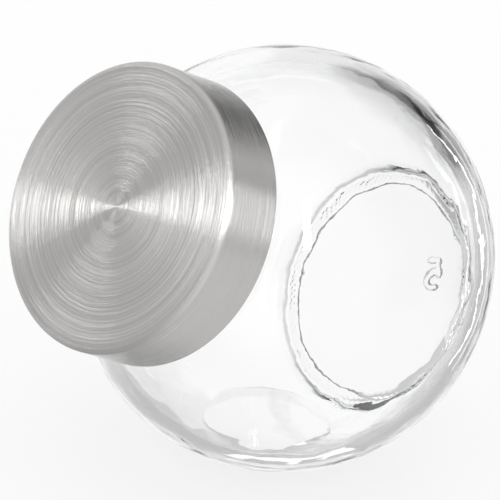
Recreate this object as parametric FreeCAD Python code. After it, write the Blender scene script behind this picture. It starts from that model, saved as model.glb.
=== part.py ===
# Ball-shaped glass storage jar with a brushed steel screw lid, resting on its side flat.
# Millimetres. Each piece is drawn about the jar's own axis (mouth up, centre of the ball
# at the origin), then tipped over together onto the side flat, which lies on z = 0.
import FreeCAD, Part
import math
import os

from FreeCAD import Vector

# Ball of glass: an arc swung about the axis, its centre a little off the axis.
arcRadius = 36.1
arcOffset = 2.0
wall = 3.0

# Base, opposite the mouth: a cone from the fold on the ball down to a bearing ring
# around a shallow panel.
foldRadius = 24.8
footRadius = 23.4
footDepth = 30.4
panelRadius = 20.2
panelRecess = 0.6
floorThickness = 3.0

# Side flat that the jar lies on, and its tilt away from the base.
flatDepth = 2.3
flatTilt = 62.7
flatWall = 2.8

# Neck and mouth.
neckRadius = 22.4
neckWall = 2.8
rimHeight = 43.15

# Thread of the neck: separate sloping lugs.
lugCount = 4
lugDepth = 1.2
lugWidth = 2.6
lugSpan = 62.0
lugSlope = 2.6
lugBelowRim = 4.2

# Lid: a steel cup around a plastic insert that seals on the rim.
steel = 0.45
lidSkirt = 12.1
lidRound = 1.0
linerThickness = 1.05
insertWall = 1.25
insertShort = 0.9
catchSpan = 16.0

# Clearances and small roundings.
threadGap = 0.3
shellGap = 0.1
footRound = 1.0
panelRound = 0.5
shoulderRound = 1.6
innerShoulderRound = 2.4
floorRound = 5.0
rimRound = 0.9
flatRound = 0.8
innerFlatRound = 2.0


def revolved(edges):
    """Solid swept by a closed outline in the XZ plane, a full turn about Z."""
    face = Part.Face(Part.Wire(Part.__sortEdges__(edges)))
    return face.revolve(Vector(0, 0, 0), Vector(0, 0, 1), 360)


def at(radius, height):
    return Vector(radius, 0, height)


def line(start, end):
    return Part.LineSegment(at(*start), at(*end)).toShape()


def polygon(points):
    return [line(points[i], points[(i + 1) % len(points)]) for i in range(len(points))]


def arcHeight(radius, ball):
    """Height above the ball's middle at which its arc has the given radius."""
    return math.sqrt(ball ** 2 - (radius - arcOffset) ** 2)


def ballArc(ball, low, high):
    """Arc of the ball's outline from the radius low (below) to the radius high (above)."""
    middle = (arcOffset + ball, 0)
    ends = ((low, -arcHeight(low, ball)), (high, arcHeight(high, ball)))
    return Part.Arc(at(*ends[0]), at(*middle), at(*ends[1])).toShape()


def circlesAt(shape, radius, height):
    """Circular edges about the axis with the given radius and height."""
    found = []
    for edge in shape.Edges:
        curve = edge.Curve
        if not isinstance(curve, Part.Circle) or abs(curve.Radius - radius) > 1e-4:
            continue
        if abs(curve.Center.z - height) < 1e-4 and math.hypot(curve.Center.x, curve.Center.y) < 1e-4:
            found.append(edge)
    return found


def flatNormal():
    """Outward direction of the side flat."""
    tilt = math.radians(flatTilt)
    return Vector(0, -math.sin(tilt), -math.cos(tilt))


def flatDistance():
    """Distance from the middle of the ball to the side flat."""
    return arcRadius + arcOffset * math.sin(math.radians(flatTilt)) - flatDepth


def withFlat(shape, distance, rounding):
    """The shape cut by a plane across the flat's direction, with the cut's edge rounded."""
    size = 4 * arcRadius
    block = Part.makeBox(size, size, size, Vector(-size / 2, -size / 2, distance))
    block.rotate(Vector(0, 0, 0), Vector(1, 0, 0), 180 - flatTilt)
    cut = shape.cut(block)
    normal = flatNormal()

    def onPlane(edge):
        ends = [edge.valueAt(edge.FirstParameter + step * edge.ParameterRange[1] / 3) for step in range(3)]
        return all(abs(point.dot(normal) - distance) < 1e-3 for point in ends)

    return cut.makeFillet(rounding, [edge for edge in cut.Edges if onPlane(edge)])


def glassOutside():
    low = arcHeight(foldRadius, arcRadius)
    high = arcHeight(neckRadius, arcRadius)
    edges = [
        line((0, -footDepth), (footRadius, -footDepth)),
        line((footRadius, -footDepth), (foldRadius, -low)),
        ballArc(arcRadius, foldRadius, neckRadius),
        line((neckRadius, high), (neckRadius, rimHeight)),
        line((neckRadius, rimHeight), (0, rimHeight)),
        line((0, rimHeight), (0, -footDepth)),
    ]
    shape = revolved(edges)
    shape = shape.makeFillet(footRound, circlesAt(shape, footRadius, -footDepth))
    shape = shape.makeFillet(shoulderRound, circlesAt(shape, neckRadius, high))
    panel = Part.makeCylinder(panelRadius, panelRecess, at(0, -footDepth))
    panel = panel.makeFillet(panelRound, circlesAt(panel, panelRadius, panelRecess - footDepth))
    return withFlat(shape.cut(panel), flatDistance(), flatRound)


def glassInside():
    ball = arcRadius - wall
    mouth = neckRadius - neckWall
    floor = footDepth - panelRecess - floorThickness
    corner = arcOffset + math.sqrt(ball ** 2 - floor ** 2)
    high = arcHeight(mouth, ball)
    edges = [
        line((0, -floor), (corner, -floor)),
        ballArc(ball, corner, mouth),
        line((mouth, high), (mouth, rimHeight)),
        line((mouth, rimHeight), (0, rimHeight)),
        line((0, rimHeight), (0, -floor)),
    ]
    shape = revolved(edges)
    shape = shape.makeFillet(floorRound, circlesAt(shape, corner, -floor))
    shape = shape.makeFillet(innerShoulderRound, circlesAt(shape, mouth, high))
    return withFlat(shape, flatDistance() - flatWall, innerFlatRound)


def lug(inner, outer, root, crest, height, span, middle):
    """Ridge between two radii, sloped like a thread, centred on an angle about the axis."""
    points = [
        (inner, height - root / 2),
        (outer, height - crest / 2),
        (outer, height + crest / 2),
        (inner, height + root / 2),
    ]
    face = Part.Face(Part.Wire(polygon(points)))
    ridge = face.revolve(Vector(0, 0, 0), Vector(0, 0, 1), span)
    ridge.rotate(Vector(0, 0, 0), Vector(0, 0, 1), -span / 2)
    ridge.rotate(at(0, height), Vector(1, 0, 0), lugSlope)
    ridge.rotate(Vector(0, 0, 0), Vector(0, 0, 1), middle)
    return ridge


def lugAngles():
    return [index * 360 / lugCount for index in range(lugCount)]


def lugHeight():
    return rimHeight - lugBelowRim


def glassJar():
    jar = glassOutside()
    sunk = neckWall / 2
    for middle in lugAngles():
        ridge = lug(neckRadius - sunk, neckRadius + lugDepth, lugWidth, lugWidth / 2,
                    lugHeight(), lugSpan, middle)
        jar = jar.fuse(ridge)
    jar = jar.cut(glassInside())
    mouth = neckRadius - neckWall
    rims = circlesAt(jar, neckRadius, rimHeight) + circlesAt(jar, mouth, rimHeight)
    return jar.makeFillet(rimRound, rims)


def lidTop():
    return rimHeight + linerThickness + steel


def insertRadius():
    return neckRadius + lugDepth + threadGap + insertWall


def lidRadius():
    return insertRadius() + shellGap + steel


def cup(radius, top, height, thickness, base, rounding):
    """Upside-down cup: outer radius, top height, depth, side and top thicknesses."""
    bottom = top - height
    outside = Part.makeCylinder(radius, height, at(0, bottom))
    outside = outside.makeFillet(rounding, circlesAt(outside, radius, top))
    hollow = Part.makeCylinder(radius - thickness, height - base, at(0, bottom))
    inner = max(rounding - thickness, 0.1)
    hollow = hollow.makeFillet(inner, circlesAt(hollow, radius - thickness, top - base))
    return outside.cut(hollow)


def steelLid():
    return cup(lidRadius(), lidTop(), lidSkirt, steel, steel, lidRound)


def lidInsert():
    top = lidTop() - steel
    height = lidSkirt - steel - insertShort
    insert = cup(insertRadius(), top, height, insertWall, linerThickness, lidRound)
    inner = neckRadius + threadGap
    catchHeight = lugHeight() - (lugWidth + lugWidth) / 2 - threadGap
    for middle in lugAngles():
        catch = lug(inner, insertRadius() - insertWall / 2, lugWidth / 2, lugWidth,
                    catchHeight, catchSpan, middle)
        insert = insert.fuse(catch)
    return insert


def atRest(shape):
    """Tip the jar onto its side flat: the lid points to -Y and up."""
    shape = shape.copy()
    shape.rotate(Vector(0, 0, 0), Vector(1, 0, 0), flatTilt)
    shape.translate(Vector(0, 0, flatDistance()))
    return shape


os.makedirs("parts", exist_ok=True)
for name, shape in (("glass_jar", glassJar()), ("steel_lid", steelLid()), ("lid_insert", lidInsert())):
    atRest(shape).exportStep("parts/%s.step" % name)
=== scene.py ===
import bpy
import bmesh
import math
from mathutils import Matrix, Vector, noise


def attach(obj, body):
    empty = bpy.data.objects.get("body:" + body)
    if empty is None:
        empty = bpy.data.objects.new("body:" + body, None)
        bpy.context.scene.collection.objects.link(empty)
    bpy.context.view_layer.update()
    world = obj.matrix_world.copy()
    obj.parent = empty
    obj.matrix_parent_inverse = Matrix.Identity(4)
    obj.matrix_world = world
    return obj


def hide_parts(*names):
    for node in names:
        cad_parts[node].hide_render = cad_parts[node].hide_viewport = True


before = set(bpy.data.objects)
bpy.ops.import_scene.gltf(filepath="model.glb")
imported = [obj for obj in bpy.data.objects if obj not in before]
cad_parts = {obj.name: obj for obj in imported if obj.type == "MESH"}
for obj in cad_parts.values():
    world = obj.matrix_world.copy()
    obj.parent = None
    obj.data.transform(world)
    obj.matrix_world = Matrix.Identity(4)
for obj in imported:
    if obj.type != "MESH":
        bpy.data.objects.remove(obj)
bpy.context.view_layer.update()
millimetre = 0.001
zero = (0, 0, 0)

# Sizes are in millimetres about the jar's own axis: mouth up, middle of the ball at zero.
jarSizes = {
    "arcRadius": 36.1, "arcOffset": 2.0, "wall": 3.0,
    "foldRadius": 24.8, "footRadius": 23.4, "footDepth": 30.4, "footRound": 1.0,
    "panelRadius": 20.2, "panelRecess": 0.6, "panelRound": 0.4, "lipRound": 0.2,
    "floorThickness": 3.0, "floorRound": 5.0,
    "flatDepth": 2.3, "flatTilt": 62.7, "flatWall": 2.8, "flatRound": 0.8, "innerFlatRound": 2.0,
    "neckRadius": 22.4, "neckWall": 2.8, "rimHeight": 43.15, "rimRound": 0.9,
    "shoulderRound": 1.6, "innerShoulderRound": 2.4,
    "lugCount": 4, "lugDepth": 1.2, "lugWidth": 2.6, "lugSpan": 62.0, "lugSlope": 2.6,
    "lugBelowRim": 4.2, "lugEnd": 0.05,
    "turns": 288,                                    # faces round the jar
    "ribs": 96, "ribDepth": 0.16, "ribFade": 0.25,   # knurl of the bearing ring
    "ribRow": 0.9, "ribMargins": (0.05, 0.3), "ribEnds": (0.5, 0.6),
    "ribClear": (-0.1, 0.5), "ribLevel": 0.7, "ribPatch": 3.0,
    "leanAt": -28.0, "leanRun": 1.9,                 # where the recess's wall leans out gently
    "leanSpread": (0.6, 0.85), "leanStart": 0.3,
    "figureAt": (10.2, 7.0), "figureSize": 1.1, "figureHeight": 0.4, "figureTurn": 20.0,
    "figureStroke": (0.25, 0.8), "figureRings": (7.5, 16.5),
    "figureLines": (((1.3, 2.5), (-1.1, 2.5)), ((-1.1, 2.5), (-1.3, 0.3))),
    "bowlAt": (-0.15, -0.75), "bowlRadius": 1.45, "bowlReach": 2.4,
    "wave": 0.05, "waveLength": 9.0,                 # unevenness of the pressed inside
    "smallWave": 0.6, "smallWaveShare": 2.6,
    "rippleScale": 260.0, "rippleDepth": 0.00008, "rippleStrength": 0.25,
    "index": 1.5, "tint": (0.55, 0.78, 0.66, 1), "tintDensity": 4.0,
}

flatTilt = math.radians(jarSizes["flatTilt"])
flatNormal = Vector((0, -math.sin(flatTilt), -math.cos(flatTilt)))
flatDistance = (jarSizes["arcRadius"] + jarSizes["arcOffset"] * math.sin(flatTilt)
                - jarSizes["flatDepth"])
restPose = (Matrix.Scale(millimetre, 4) @ Matrix.Translation((0, 0, flatDistance))
            @ Matrix.Rotation(flatTilt, 4, "X"))


# drawing and turning

class outline:
    # a wire in the XZ plane, drawn from point to point
    def __init__(self, radius, height):
        self.mesh = bmesh.new()
        self.tip = self.mesh.verts.new((radius, 0, height))

    def extend(self, steps, centre, turn, shift):
        made = bmesh.ops.spin(self.mesh, geom=[self.tip], steps=steps, axis=(0, -1, 0),
                              cent=centre, angle=turn, dvec=shift)
        self.tip = [part for part in made["geom_last"] if isinstance(part, bmesh.types.BMVert)][0]

    def line(self, radius, height, step):
        way = Vector((radius, 0, height)) - self.tip.co
        steps = max(1, round(way.length / step))
        self.extend(steps, zero, 0, way / steps)

    def arc(self, centre, radius, height, step):
        middle = Vector((centre[0], 0, centre[1]))
        start, end = self.tip.co - middle, Vector((radius, 0, height)) - middle
        turn = math.atan2(start.x * end.z - start.z * end.x, start.x * end.x + start.z * end.z)
        self.extend(max(2, round(abs(turn) * start.length / step)), middle, turn, zero)


def turned(pen, turns):
    bm = pen.mesh
    bmesh.ops.spin(bm, geom=bm.verts[:] + bm.edges[:], steps=turns, axis=(0, 0, 1), cent=zero,
                   dvec=zero, angle=math.tau, use_merge=True)
    bmesh.ops.remove_doubles(bm, verts=bm.verts, dist=1e-4)
    bmesh.ops.recalc_face_normals(bm, faces=bm.faces)
    return bm


def smoothStep(value, low, high):
    share = min(max((value - low) / (high - low), 0), 1)
    return share * share * (3 - 2 * share)


def makePiece(name, bm, material, node):
    bmesh.ops.transform(bm, matrix=restPose, verts=bm.verts)
    mesh = bpy.data.meshes.new(name)
    bm.to_mesh(mesh)
    bm.free()
    mesh.shade_smooth()
    mesh.materials.append(material)
    piece = bpy.data.objects.new(name, mesh)
    bpy.context.scene.collection.objects.link(piece)
    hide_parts(node)
    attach(piece, "root")
    print(name, len(mesh.polygons), "faces")
    return piece


# shader maths

class shade:
    # a shader socket that can be written in sums
    def __init__(self, tree, socket=None):
        self.tree, self.socket = tree, socket

    def node(self, kind, settings=None, values=None, output=0):
        made = self.tree.nodes.new(kind)
        for name, value in (settings or {}).items():
            setattr(made, name, value)
        for name, value in (values or {}).items():
            if isinstance(value, shade):
                self.tree.links.new(value.socket, made.inputs[name])
            else:
                made.inputs[name].default_value = value
        return shade(self.tree, made.outputs[output])

    def maths(self, operation, *values):
        return self.node("ShaderNodeMath", {"operation": operation}, dict(enumerate(values)))

    def __add__(self, other):
        return self.maths("ADD", self, other)

    def __radd__(self, other):
        return self.maths("ADD", other, self)

    def __sub__(self, other):
        return self.maths("SUBTRACT", self, other)

    def __rsub__(self, other):
        return self.maths("SUBTRACT", other, self)

    def __mul__(self, other):
        return self.maths("MULTIPLY", self, other)

    def __rmul__(self, other):
        return self.maths("MULTIPLY", other, self)

    def part(self, output):
        return shade(self.tree, self.socket.node.outputs[output])


def newMaterial(name):
    material = bpy.data.materials.new(name)
    material.use_nodes = True
    material.node_tree.nodes.clear()
    return material, shade(material.node_tree)


def finish(maker, surface, volume=None, kind="ShaderNodeOutputMaterial"):
    out = maker.tree.nodes.new(kind)
    maker.tree.links.new(surface.socket, out.inputs["Surface"])
    if volume:
        maker.tree.links.new(volume.socket, out.inputs["Volume"])


def axisCoordinates(maker):
    # object coordinates turned and centred on the jar's axis, still in metres
    coordinates = maker.node("ShaderNodeTexCoord", output="Object")
    return maker.node("ShaderNodeMapping", {"vector_type": "TEXTURE"}, {
        "Vector": coordinates, "Location": (0, 0, flatDistance * millimetre),
        "Rotation": (flatTilt, 0, 0)})


# glass jar

def ballHeight(radius, ball):
    return math.sqrt(ball ** 2 - (radius - jarSizes["arcOffset"]) ** 2)


def roundAt(radius, ball, rounding):
    # middle of a rounding between the ball and a cylinder, and where it leaves the ball
    offset = jarSizes["arcOffset"]
    centre = (radius + rounding, ballHeight(radius + rounding, ball + rounding))
    share = ball / (ball + rounding)
    return centre, (offset + (centre[0] - offset) * share, centre[1] * share)


def drawJar():
    s = jarSizes
    ball, inside = s["arcRadius"], s["arcRadius"] - s["wall"]
    middle = (s["arcOffset"], 0)
    mouth = s["neckRadius"] - s["neckWall"]
    base, panel = -s["footDepth"], s["panelRecess"] - s["footDepth"]
    pen = outline(0, panel)
    # panel and the lip of its recess
    pen.line(s["figureRings"][0], panel, step=0.9)
    pen.line(s["figureRings"][1], panel, step=0.3)
    corner, lip = s["panelRadius"] - s["panelRound"], s["panelRadius"] + s["lipRound"]
    pen.line(corner, panel, step=0.6)
    pen.arc((corner, panel - s["panelRound"]), s["panelRadius"], panel - s["panelRound"],
            step=0.15)
    pen.arc((lip, base + s["lipRound"]), lip, base, step=0.1)
    # bearing ring, rounded foot and cone
    fold = -ballHeight(s["foldRadius"], ball)
    slope = math.atan2(fold - base, s["foldRadius"] - s["footRadius"])
    reach = s["footRound"] * math.tan(slope / 2)
    start = s["footRadius"] - reach
    pen.line(start, base, step=0.42)
    pen.arc((start, base + s["footRound"]), s["footRadius"] + reach * math.cos(slope),
            base + reach * math.sin(slope), step=0.25)
    pen.line(s["foldRadius"], fold, step=0.45)
    # ball, shoulder, neck and rim
    centre, leave = roundAt(s["neckRadius"], ball, s["shoulderRound"])
    pen.arc(middle, leave[0], leave[1], step=0.85)
    pen.arc(centre, s["neckRadius"], centre[1], step=0.4)
    top, edge = s["rimHeight"], s["rimRound"]
    pen.line(s["neckRadius"], top - edge, step=0.45)
    pen.arc((s["neckRadius"] - edge, top - edge), s["neckRadius"] - edge, top, step=0.3)
    pen.line(mouth + edge, top, step=0.5)
    pen.arc((mouth + edge, top - edge), mouth, top - edge, step=0.3)
    # inside: bore, shoulder, ball, rounded corner and floor
    centre, leave = roundAt(mouth, inside, s["innerShoulderRound"])
    pen.line(mouth, centre[1], step=1.0)
    pen.arc(centre, leave[0], leave[1], step=0.5)
    floor, corner = panel + s["floorThickness"], s["floorRound"]
    within = inside - corner
    rise = floor + corner
    run = math.sqrt(within ** 2 - rise ** 2)
    share = inside / within
    pen.arc(middle, middle[0] + run * share, rise * share, step=1.0)
    pen.arc((middle[0] + run, rise), middle[0] + run, floor, step=0.6)
    pen.line(0, floor, step=1.2)
    return pen


def cutFlat(bm, distance, rounding, isSide):
    near, leastSlide, capDepth, onFlat = 0.11, 0.25, 0.2, 0.01
    ballDepth, rings = 2.2, 12
    # corners close to the cut slide onto it first, so that no sliver is left
    bm.normal_update()
    for corner in bm.verts:
        off = distance - corner.co.dot(flatNormal)
        if abs(off) < near and isSide(corner.co):
            along = flatNormal - corner.normal * flatNormal.dot(corner.normal)
            if along.length > leastSlide:
                corner.co += along * off / along.dot(flatNormal)
    cap = [face for face in bm.faces
           if all(isSide(corner.co) for corner in face.verts)
           and max(corner.co.dot(flatNormal) for corner in face.verts) > distance - capDepth]
    edges = {edge for face in cap for edge in face.edges}
    corners = {corner for face in cap for corner in face.verts}
    cut = bmesh.ops.bisect_plane(bm, geom=cap + list(edges) + list(corners), dist=1e-4,
                                 plane_co=flatNormal * distance, plane_no=flatNormal, clear_outer=True)
    rim = [part for part in cut["geom_cut"] if isinstance(part, bmesh.types.BMEdge)]
    bmesh.ops.edgeloop_fill(bm, edges=rim)
    bmesh.ops.recalc_face_normals(bm, faces=bm.faces)
    meeting = math.acos(distance / (distance + ballDepth))
    bmesh.ops.bevel(bm, geom=rim, offset=rounding * math.tan(meeting / 2), offset_type="OFFSET",
                    segments=3, profile=0.5, affect="EDGES", material=-1, clamp_overlap=True,
                    loop_slide=True)
    onCut = [face for face in bm.faces
             if all(abs(corner.co.dot(flatNormal) - distance) < onFlat for corner in face.verts)]
    flat = max(onCut, key=lambda face: len(face.verts))
    middle = flatNormal * flatNormal.dot(flat.verts[0].co)
    across = flat.calc_center_median() - middle
    middle += across - flatNormal * across.dot(flatNormal)
    for ring in range(rings, 1, -1):
        made = bmesh.ops.extrude_face_region(bm, geom=[flat])
        bmesh.ops.delete(bm, geom=[flat], context="FACES_ONLY")
        flat = max((part for part in made["geom"] if isinstance(part, bmesh.types.BMFace)),
                   key=lambda face: len(face.verts))
        bmesh.ops.scale(bm, verts=flat.verts, vec=Vector((1, 1, 1)) * (ring - 1) / ring,
                        space=Matrix.Translation(-middle))
    bmesh.ops.poke(bm, faces=[flat])


lowRing = jarSizes["panelRadius"] + jarSizes["lipRound"] + jarSizes["ribMargins"][0]
highRing = jarSizes["footRadius"] - jarSizes["ribMargins"][1]


def shapeJar():
    s = jarSizes
    slack, ringHeight = 0.1, 0.3
    bm = turned(drawJar(), s["turns"])
    between = s["arcRadius"] - s["wall"] / 2
    base = -s["footDepth"]

    def fromArc(co):
        return math.hypot(math.hypot(co.x, co.y) - s["arcOffset"], co.z)

    # finer faces on the bearing ring for its knurl
    ring = {edge for edge in bm.edges
            if all(lowRing - slack < corner.co.xy.length < highRing and
                   corner.co.z < base + ringHeight for corner in edge.verts)}
    bmesh.ops.subdivide_edges(bm, edges=list(ring), cuts=1, use_grid_fill=True)
    cutFlat(bm, flatDistance - s["flatWall"], s["innerFlatRound"], lambda co: fromArc(co) < between)
    cutFlat(bm, flatDistance, s["flatRound"], lambda co: fromArc(co) > between)
    bmesh.ops.recalc_face_normals(bm, faces=bm.faces)
    return bm


def uneven(co, length, seed):
    return noise.noise(co / length + Vector((seed, seed * 2, seed * 3)))


def knurl(co):
    s = jarSizes
    radius, angle = co.xy.length, math.atan2(co.y, co.x)
    inner, outer = s["ribEnds"]
    inRing = (smoothStep(radius, lowRing, lowRing + inner)
              * (1 - smoothStep(radius, highRing - outer, highRing)))
    row = math.floor((radius - lowRing) / s["ribRow"])
    waves = math.sin(angle * s["ribs"] + math.pi * row)
    # clear to one side, worn towards the other
    clear = smoothStep(-co.x / radius, *s["ribClear"]) * (s["ribLevel"] + uneven(co, s["ribPatch"], 4))
    depth = s["ribDepth"] * max(clear, s["ribFade"])
    return inRing * depth * (0.5 + 0.5 * waves)


def lean(co, radius):
    # how far a point of the recess's steep wall moves onto the gentle slope
    s = jarSizes
    at = math.radians(s["leanAt"])
    start = s["panelRadius"] - s["panelRound"]
    if radius < start:
        return 0.0
    share = smoothStep((co.x * math.cos(at) + co.y * math.sin(at)) / radius, *s["leanSpread"])
    run = s["panelRound"] + s["lipRound"] + share * s["leanRun"]
    if radius > start + run:
        return 0.0
    slope = s["panelRecess"] * (1 - (radius - start) / run) - s["footDepth"]
    return (slope - co.z) * smoothStep(share, 0.0, s["leanStart"])


def figure(co):
    # a plain 5, raised on the panel
    s = jarSizes
    turn = math.radians(s["figureTurn"])
    x, y = co.x - s["figureAt"][0], co.y - s["figureAt"][1]
    x, y = (x * math.cos(turn) + y * math.sin(turn), y * math.cos(turn) - x * math.sin(turn))
    point = Vector((-x, y)) / s["figureSize"]
    away = math.inf
    for start, end in s["figureLines"]:
        start, end = Vector(start), Vector(end)
        share = min(max((point - start).dot(end - start) / (end - start).length_squared, 0), 1)
        away = min(away, (point - start - (end - start) * share).length)
    bowl = point - Vector(s["bowlAt"])
    if abs(math.atan2(bowl.y, bowl.x)) < s["bowlReach"]:
        away = min(away, abs(bowl.length - s["bowlRadius"]))
    return s["figureHeight"] * (1 - smoothStep(away, *s["figureStroke"]))


def lugs(co):
    s = jarSizes
    each = math.tau / s["lugCount"]
    angle = (math.atan2(co.y, co.x) + each / 2) % each - each / 2
    rise = math.tan(math.radians(s["lugSlope"]))
    level = s["rimHeight"] - s["lugBelowRim"] + s["neckRadius"] * math.sin(angle) * rise
    end = math.radians(s["lugSpan"] / 2)
    across = 1 - smoothStep(abs(co.z - level), s["lugWidth"] / 4, s["lugWidth"] / 2)
    return s["lugDepth"] * across * (1 - smoothStep(abs(angle), end - s["lugEnd"], end))


def workGlass(bm):
    s = jarSizes
    bm.normal_update()
    between = s["arcRadius"] - s["wall"] / 2
    belowPanel, aboveShoulder, belowShoulder = 1.5 - s["footDepth"], 31, 27
    for corner in bm.verts:
        co = corner.co.copy()
        radius = co.xy.length
        if co.z < belowPanel:
            corner.co.z += lean(co, radius)
            if radius > lowRing:
                corner.co.z += knurl(co)
            if radius < s["panelRadius"] - 1:
                corner.co.z -= figure(co)
        elif co.z > aboveShoulder and radius > s["neckRadius"] - 0.01:
            corner.co.xy *= 1 + lugs(co) / radius
        elif math.hypot(radius - s["arcOffset"], co.z) < between and co.z < belowShoulder:
            small = s["smallWave"] * uneven(co, s["waveLength"] / s["smallWaveShare"], 2)
            corner.co += corner.normal * s["wave"] * (uneven(co, s["waveLength"], 1) + small)


def glassMaterial():
    s = jarSizes
    material, maker = newMaterial("clearGlass")
    coordinates = maker.node("ShaderNodeTexCoord", output="Object")
    ripple = maker.node("ShaderNodeTexNoise", None, {
        "Vector": coordinates, "Scale": s["rippleScale"], "Detail": 2.0, "Roughness": 0.5})
    bump = maker.node("ShaderNodeBump", None, {
        "Strength": s["rippleStrength"], "Distance": s["rippleDepth"], "Height": ripple})
    surface = maker.node("ShaderNodeBsdfPrincipled", None, {
        "Base Color": (1, 1, 1, 1), "Transmission Weight": 1.0, "Roughness": 0.0, "IOR": s["index"],
        "Normal": bump})
    tint = maker.node("ShaderNodeVolumeAbsorption", None,
                      {"Color": s["tint"], "Density": s["tintDensity"]})
    finish(maker, surface, tint)
    return material


glass = shapeJar()
workGlass(glass)
glassJar = makePiece("glassJar", glass, glassMaterial(), "glass_jar")

# steel lid and its plastic insert

lidSizes = {
    "steel": 0.45, "skirt": 12.1, "round": 1.0, "edgeRound": 0.15, "turns": 256,
    "brushScale": 21000.0, "brushDepth": 0.000022, "streakScale": 3500.0, "roughness": 0.17,
    "darkSteel": (0.585, 0.575, 0.565, 1), "lightSteel": (0.61, 0.6, 0.59, 1),
}
insertSizes = {
    "liner": 1.05, "wall": 1.25, "short": 0.9, "edgeRound": 0.3,
    "threadGap": 0.3, "shellGap": 0.1,
    "grainScale": 1800.0, "grainDepth": 0.00003, "roughness": 0.45, "colour": (0.78, 0.78, 0.76, 1),
}
insertRadius = (jarSizes["neckRadius"] + jarSizes["lugDepth"] + insertSizes["threadGap"]
                + insertSizes["wall"])
lidRadius = insertRadius + insertSizes["shellGap"] + lidSizes["steel"]
lidTop = jarSizes["rimHeight"] + insertSizes["liner"] + lidSizes["steel"]


def drawCup(radius, top, height, side, cover, rounding, edge):
    # a cup hung from its closed top, with a rounded corner and a rounded lower edge
    pen = outline(0, top)
    bottom = top - height
    inner = max(rounding - side, 0.1)
    pen.line(radius - rounding, top, step=1.0)
    pen.arc((radius - rounding, top - rounding), radius, top - rounding, step=0.12)
    pen.line(radius, bottom + edge, step=0.5)
    pen.arc((radius - edge, bottom + edge), radius - edge, bottom, step=0.08)
    pen.line(radius - side + edge, bottom, step=0.2)
    pen.arc((radius - side + edge, bottom + edge), radius - side, bottom + edge, step=0.08)
    pen.line(radius - side, top - cover - inner, step=1.0)
    pen.arc((radius - side - inner, top - cover - inner), radius - side - inner, top - cover,
            step=0.12)
    pen.line(0, top - cover, step=2.0)
    return pen


def steelMaterial():
    s = lidSizes
    material, maker = newMaterial("brushedSteel")
    place = axisCoordinates(maker)
    parts = maker.node("ShaderNodeSeparateXYZ", None, {"Vector": place})
    radius = maker.maths("SQRT", parts.part("X") * parts.part("X") + parts.part("Y") * parts.part("Y"))
    along = radius - parts.part("Z")       # runs out over the face and on down the side
    lines = maker.node("ShaderNodeTexNoise", {"noise_dimensions": "1D"},
                       {"W": along, "Scale": s["brushScale"], "Detail": 0.0})
    bump = maker.node("ShaderNodeBump", None,
                      {"Strength": 1.0, "Distance": s["brushDepth"], "Height": lines})
    streaks = maker.node("ShaderNodeTexNoise", {"noise_dimensions": "1D"},
                         {"W": along, "Scale": s["streakScale"], "Detail": 4.0, "Roughness": 0.7})
    tone = maker.node("ShaderNodeMix", {"data_type": "RGBA"},
                      {"Factor": streaks, 6: s["darkSteel"], 7: s["lightSteel"]}, 2)
    surface = maker.node("ShaderNodeBsdfPrincipled", None, {
        "Base Color": tone, "Metallic": 1.0, "Roughness": s["roughness"], "Normal": bump})
    finish(maker, surface)
    return material


def plasticMaterial():
    s = insertSizes
    material, maker = newMaterial("insertPlastic")
    coordinates = maker.node("ShaderNodeTexCoord", output="Object")
    grain = maker.node("ShaderNodeTexNoise", None, {
        "Vector": coordinates, "Scale": s["grainScale"], "Detail": 3.0, "Roughness": 0.6})
    bump = maker.node("ShaderNodeBump", None,
                      {"Strength": 0.4, "Distance": s["grainDepth"], "Height": grain})
    surface = maker.node("ShaderNodeBsdfPrincipled", None,
                         {"Base Color": s["colour"], "Roughness": s["roughness"], "Normal": bump})
    finish(maker, surface)
    return material


lid = turned(drawCup(lidRadius, lidTop, lidSizes["skirt"], lidSizes["steel"], lidSizes["steel"],
                     lidSizes["round"], lidSizes["edgeRound"]), lidSizes["turns"])
steelLid = makePiece("steelLid", lid, steelMaterial(), "steel_lid")
insertTop = lidTop - lidSizes["steel"]
insertHeight = lidSizes["skirt"] - lidSizes["steel"] - insertSizes["short"]
insert = turned(drawCup(insertRadius, insertTop, insertHeight, insertSizes["wall"],
                        insertSizes["liner"], lidSizes["round"], insertSizes["edgeRound"]),
                lidSizes["turns"])
makePiece("lidInsert", insert, plasticMaterial(), "lid_insert")

# camera

view = {"azimuth": 47.82, "elevation": 25.99, "roll": 4.3, "distance": 884.0, "lens": 357.5,
        "sensor": 36.0, "aside": -5.954, "above": 1.462}
azimuth, elevation, roll = (math.radians(view[name]) for name in ("azimuth", "elevation", "roll"))
towards = Vector((math.sin(azimuth) * math.cos(elevation), -math.cos(azimuth) * math.cos(elevation),
                  math.sin(elevation)))
level = Vector((0, 0, 1)).cross(towards).normalized()
upright = towards.cross(level)
right = level * math.cos(roll) + upright * math.sin(roll)
up = upright * math.cos(roll) - level * math.sin(roll)
ballMiddle = Vector((0, 0, flatDistance))
stand = ballMiddle + right * view["aside"] + up * view["above"] + towards * view["distance"]
camera = bpy.data.objects.new("camera", bpy.data.cameras.new("camera"))
camera.data.lens = view["lens"]
camera.data.sensor_width = view["sensor"]
facing = Matrix((right, up, towards)).transposed().to_4x4()
camera.matrix_world = Matrix.Translation(stand * millimetre) @ facing
bpy.context.scene.collection.objects.link(camera)
bpy.context.scene.camera = camera
print("camera at", view["distance"], "mm")

# floor, world and lamps

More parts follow.
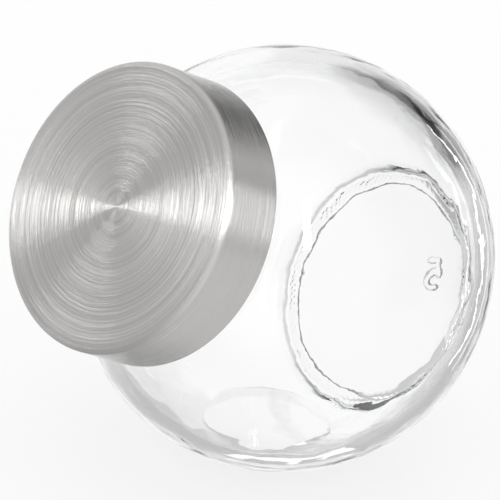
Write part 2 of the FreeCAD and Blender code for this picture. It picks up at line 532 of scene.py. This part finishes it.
# A pale floor for the camera and for shadows. Glass and steel look past it into the studio:
# a white panel behind the jar and a dimmer room, lit more in front, overhead, to the left and
# low on the right, with two darker patches behind. A fill is a direction, the two cosines
# between which it comes in, and what it adds.
studio = {
    "floorColour": 0.95, "floorSize": 6.0, "floorDrop": 0.0002, "cameraGlow": 0.8,
    "plainLevel": 1.0, "lampDistance": 1500.0,
    "panelWay": (0.0, 0.0, -1.0), "panelEdge": (22.0, 16.0), "room": 0.55,
    "fills": (((0.0, 0.0, 1.0), 0.3, 0.8, 0.45),
              ((0.0, 0.9, -0.45), 0.25, 0.85, 0.3),
              ((-0.6, 0.3, -0.74), 0.75, 0.93, 0.4),
              ((0.55, -0.8, -0.1), 0.6, 0.9, 0.3),
              ((0.35, 0.31, -0.88), 0.975, 0.995, -0.35),
              ((0.51, 0.61, -0.61), 0.91, 0.97, -0.68)),
}


def aimed(direction):
    # from the camera's right, up and towards it to the row's own directions
    direction = Vector(direction).normalized()
    return right * direction.x + up * direction.y + towards * direction.z


floorMesh = bmesh.new()
bmesh.ops.create_grid(floorMesh, x_segments=1, y_segments=1, size=studio["floorSize"])
bmesh.ops.translate(floorMesh, verts=floorMesh.verts, vec=(0, 0, -studio["floorDrop"]))
floorData = bpy.data.meshes.new("floor")
floorMesh.to_mesh(floorData)
floor = bpy.data.objects.new("floor", floorData)
bpy.context.scene.collection.objects.link(floor)
floor.visible_glossy = floor.visible_transmission = False
floorMaterial, maker = newMaterial("paleFloor")
direct = maker.node("ShaderNodeLightPath", output="Is Camera Ray")
paper = maker.node("ShaderNodeBsdfDiffuse", None, {"Color": (studio["floorColour"],) * 3 + (1,)})
glow = maker.node("ShaderNodeEmission", None, {"Color": (1, 1, 1, 1), "Strength": 1.0})
finish(maker, maker.node("ShaderNodeMixShader", None,
                         {0: direct * studio["cameraGlow"], 1: paper, 2: glow}))
floorData.materials.append(floorMaterial)

world = bpy.data.worlds.new("studio")
world.use_nodes = True
world.node_tree.nodes.clear()
maker = shade(world.node_tree)
# 1 for the camera's own rays, and 1 for rays by way of glass or steel
direct = maker.node("ShaderNodeLightPath", output="Is Camera Ray")
seen = maker.maths("MINIMUM", direct.part("Is Glossy Ray") + direct.part("Is Transmission Ray"), 1.0)
direction = maker.node("ShaderNodeTexCoord", output="Generated")


def facingLevel(way, low, high):
    # 0 to 1 as the view turns towards a direction
    facing = maker.node("ShaderNodeVectorMath", {"operation": "DOT_PRODUCT"}, {0: direction, 1: way}, 1)
    return maker.node("ShaderNodeMapRange", {"interpolation_type": "SMOOTHSTEP"},
                      {"Value": facing, "From Min": low, "From Max": high})


room = studio["room"]
for way, low, high, gain in studio["fills"]:
    room = facingLevel(aimed(way), low, high) * gain + room
panelCos = [math.cos(math.radians(angle)) for angle in studio["panelEdge"]]
panel = facingLevel(aimed(studio["panelWay"]), *panelCos)
wall = panel + (1 - panel) * maker.maths("MINIMUM", room, 1.0)
strength = direct + seen * wall + (1 - direct) * (1 - seen) * studio["plainLevel"]
plain = maker.node("ShaderNodeBackground", None, {"Color": (1, 1, 1, 1), "Strength": strength})
finish(maker, plain, kind="ShaderNodeOutputWorld")
bpy.context.scene.world = world
bpy.context.scene.view_settings.view_transform = "Standard"


def softbox(name, direction, along, size, brightness, lit=None):
    lamp = bpy.data.lights.new(name, "AREA")
    lamp.shape = "RECTANGLE"
    lamp.size, lamp.size_y = (side * millimetre for side in size)
    lamp.energy = brightness * math.pi * lamp.size * lamp.size_y
    away = aimed(direction)
    across = away.cross(aimed(along)).normalized()
    facing = Matrix((across.cross(away), across, away)).transposed().to_4x4()
    box = bpy.data.objects.new(name, lamp)
    place = ballMiddle + away * studio["lampDistance"]
    box.matrix_world = Matrix.Translation(place * millimetre) @ facing
    bpy.context.scene.collection.objects.link(box)
    if lit:
        group = bpy.data.collections.new(name + "Lights")
        for piece in lit:
            group.objects.link(piece)
        box.light_linking.receiver_collection = group


# three boxes along one arc over the lid: its face, its rounded edge and its side
softbox("faceBox", (-0.81, 0.335, 0.48), (0.56, 0.01, 0.83), (340, 160), 8.0, [steelLid])
softbox("edgeBox", (0.15, 0.24, 0.96), (1.0, -0.1, -0.15), (2100, 430), 5.0, [steelLid])
softbox("sideBox", (0.98, 0.04, 0.12), (0.12, -0.06, -1.0), (900, 730), 1.2, [steelLid])
# boxes for the streaks of light in the glass
softbox("tallBox", (0.137, 0.334, 0.933), (0.0, 1.0, 0.0), (650, 100), 10.0, [glassJar])
softbox("rearBox", (0.57, 0.05, -0.82), (0.0, 1.0, 0.0), (1300, 60), 1.3, [glassJar])
softbox("rearSideBox", (0.84, 0.1, -0.54), (0.0, 1.0, 0.0), (1700, 90), 1.3, [glassJar])
softbox("lowRearBox", (0.02, -0.52, -0.85), (1.0, 0.0, 0.0), (480, 160), 0.8, [glassJar])
print("floor, world and lamps set")
